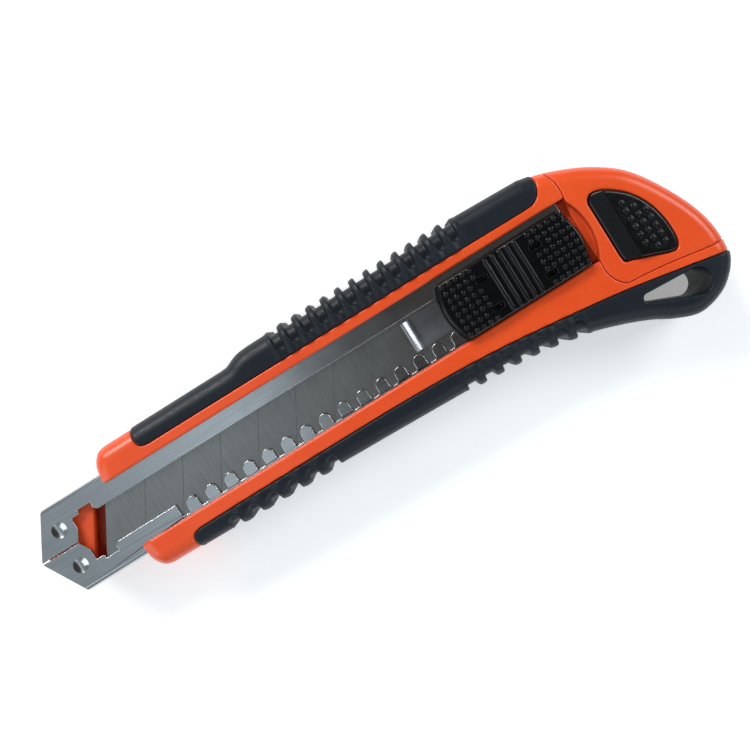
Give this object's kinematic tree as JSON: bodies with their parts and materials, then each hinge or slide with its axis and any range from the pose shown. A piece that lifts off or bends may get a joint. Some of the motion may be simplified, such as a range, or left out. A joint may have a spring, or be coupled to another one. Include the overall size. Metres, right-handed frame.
{
  "type": "snap off knife",
  "caption": "Self-loading snap-off knife: orange shell with soft grips, racked steel rail, sliding lock with thumb pad, and a pull-out spare blade magazine.",
  "frame": {"origin": "on the flat back face, under the rail's centreline, at mid length", "axes": "+X from the nose to the tail, +Z out of the face with the slider, +Y towards the grip opposite the cutting edge"},
  "size_m": [0.169, 0.0477, 0.0195],
  "materials": {
    "shell_orange": "satin moulded plastic",
    "tray_orange": "plain moulded plastic",
    "grip_dark": "soft over-moulding, dark blue-grey",
    "black_plastic": "fine-grained moulded plastic",
    "rail_steel": "rolled sheet, fine lengthwise brushing",
    "blade_steel": "ground tool steel",
    "carrier_steel": "stamped spring steel",
    "spring_steel": "spring steel strip",
    "screw_steel": "plated steel"
  },
  "bodies": {
    "handle": {"housing": "shell_orange", "grip_upper": "grip_dark", "grip_lower": "grip_dark", "rail": "rail_steel", "rail_screws": "screw_steel"},
    "magazine": {"end_cap": "shell_orange", "magazine_tray": "tray_orange", "magazine_spring": "spring_steel", "spare_blade_1": "blade_steel", "spare_blade_2": "blade_steel", "latch_spring": "spring_steel"},
    "latch": {"latch_button": "black_plastic"},
    "slider": {"slider_base": "black_plastic", "blade_carrier": "carrier_steel", "carrier_rivets": "screw_steel", "blade": "blade_steel", "lock_spring": "spring_steel"},
    "pad": {"slider_pad": "black_plastic"}
  },
  "joints": [
    {"name": "slider_slide", "type": "slide", "parent": "handle", "child": "slider", "axis": [-1, 0, 0], "range_m": [-0.0015, 0.085], "deforming": ["lock_spring"]},
    {"name": "pad_press", "type": "slide", "parent": "slider", "child": "pad", "axis": [0, 0, -1], "range_m": [0, 0.0007], "stiffness_N_per_m": 1500, "deforming": ["lock_spring"]},
    {"name": "magazine_pull", "type": "slide", "parent": "handle", "child": "magazine", "axis": [1, 0, 0], "range_m": [0, 0.135]},
    {"name": "latch_press", "type": "slide", "parent": "magazine", "child": "latch", "axis": [0, 0, -1], "range_m": [0, 0.001], "stiffness_N_per_m": 1500, "deforming": ["latch_spring"]}
  ]
}
